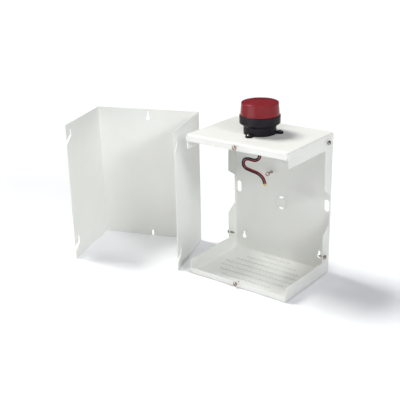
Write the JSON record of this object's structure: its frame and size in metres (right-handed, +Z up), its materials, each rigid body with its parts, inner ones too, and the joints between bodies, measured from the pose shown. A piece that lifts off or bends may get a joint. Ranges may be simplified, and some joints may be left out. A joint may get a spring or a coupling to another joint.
{
  "type": "fire alarm bell box",
  "caption": "Open folded-steel fire alarm bell box: wall housing with keyholes, sound slots and hanging leads, red-lens beacon on its roof, and its slotted U-shaped cover standing beside it.",
  "frame": {"origin": "centre of the housing's underside, where it stands on a shelf", "axes": "+Z up, +Y towards the wall behind the housing, +X to the right seen from the open front"},
  "size_m": [0.4792, 0.2257, 0.3204],
  "materials": {
    "white_powder_coat": "fine-textured white powder coat",
    "screw_steel": "zinc-plated steel",
    "black_plastic": "semi-gloss moulded black plastic",
    "red_lens": "glossy dark red polycarbonate",
    "black_rubber": "matt rubber",
    "red_insulation": "satin red wire insulation",
    "black_insulation": "satin black wire insulation",
    "bare_wire": "bright bare stranded wire",
    "circuit_laminate": "green solder resist",
    "ferrite": "dark ferrite",
    "winding_tape": "yellow winding tape",
    "capacitor_sleeve": "dark heat-shrink sleeve",
    "component_epoxy": "moulded epoxy",
    "reflector_white": "white moulded plastic",
    "tube_glass": "clear glass",
    "electrode_metal": "bright metal"
  },
  "bodies": {
    "housing": {"chassis": "white_powder_coat", "earth_screw": "screw_steel", "earth_bush": "screw_steel", "earth_washer": "screw_steel", "beacon_base": "black_plastic", "beacon_screws": "screw_steel", "beacon_washers": "screw_steel", "beacon_nuts": "screw_steel", "beacon_foot_seal": "black_rubber", "lead_grommet": "black_rubber", "circuit_board": "circuit_laminate", "board_screws": "screw_steel", "transformer_core": "ferrite", "transformer_winding": "winding_tape", "reservoir_capacitor": "capacitor_sleeve", "trigger_coil": "winding_tape", "switching_transistor": "component_epoxy", "resistors_and_diode": "component_epoxy", "reflector": "reflector_white", "flash_tube": "tube_glass", "flash_tube_electrodes": "electrode_metal", "lead_red": "red_insulation", "lead_red_bare_end": "bare_wire", "lead_black": "black_insulation", "lead_black_bare_end": "bare_wire"},
    "cover": {"cover": "white_powder_coat"},
    "lens": {"lens": "red_lens", "lens_seal": "black_rubber"},
    "cover_screw_left_lower": {"cover_screw_left_lower": "screw_steel"},
    "cover_screw_left_upper": {"cover_screw_left_upper": "screw_steel"},
    "cover_screw_right_lower": {"cover_screw_right_lower": "screw_steel"},
    "cover_screw_right_upper": {"cover_screw_right_upper": "screw_steel"},
    "cover_screw_front_lower": {"cover_screw_front_lower": "screw_steel"},
    "cover_screw_front_upper": {"cover_screw_front_upper": "screw_steel"}
  },
  "joints": [
    {"name": "cover_lift", "type": "slide", "parent": "housing", "child": "cover", "axis": [0, 0, 1], "range_m": [0, 0.33]},
    {"name": "lens_twist", "type": "hinge", "parent": "housing", "child": "lens", "pos_m": [0, 0, 0.264], "axis": [0, 0, 1], "range_deg": [0, 25]},
    {"name": "screw_left_lower_travel", "type": "slide", "parent": "housing", "child": "cover_screw_left_lower", "axis": [-1, 0, 0], "range_m": [-0.0018, 0.004]},
    {"name": "screw_left_upper_travel", "type": "slide", "parent": "housing", "child": "cover_screw_left_upper", "axis": [-1, 0, 0], "range_m": [-0.0018, 0.004]},
    {"name": "screw_right_lower_travel", "type": "slide", "parent": "housing", "child": "cover_screw_right_lower", "axis": [1, 0, 0], "range_m": [-0.0018, 0.004]},
    {"name": "screw_right_upper_travel", "type": "slide", "parent": "housing", "child": "cover_screw_right_upper", "axis": [1, 0, 0], "range_m": [-0.0018, 0.004]},
    {"name": "screw_front_lower_travel", "type": "slide", "parent": "housing", "child": "cover_screw_front_lower", "axis": [0, -1, 0], "range_m": [-0.0018, 0.004]},
    {"name": "screw_front_upper_travel", "type": "slide", "parent": "housing", "child": "cover_screw_front_upper", "axis": [0, -1, 0], "range_m": [-0.0018, 0.004]}
  ]
}
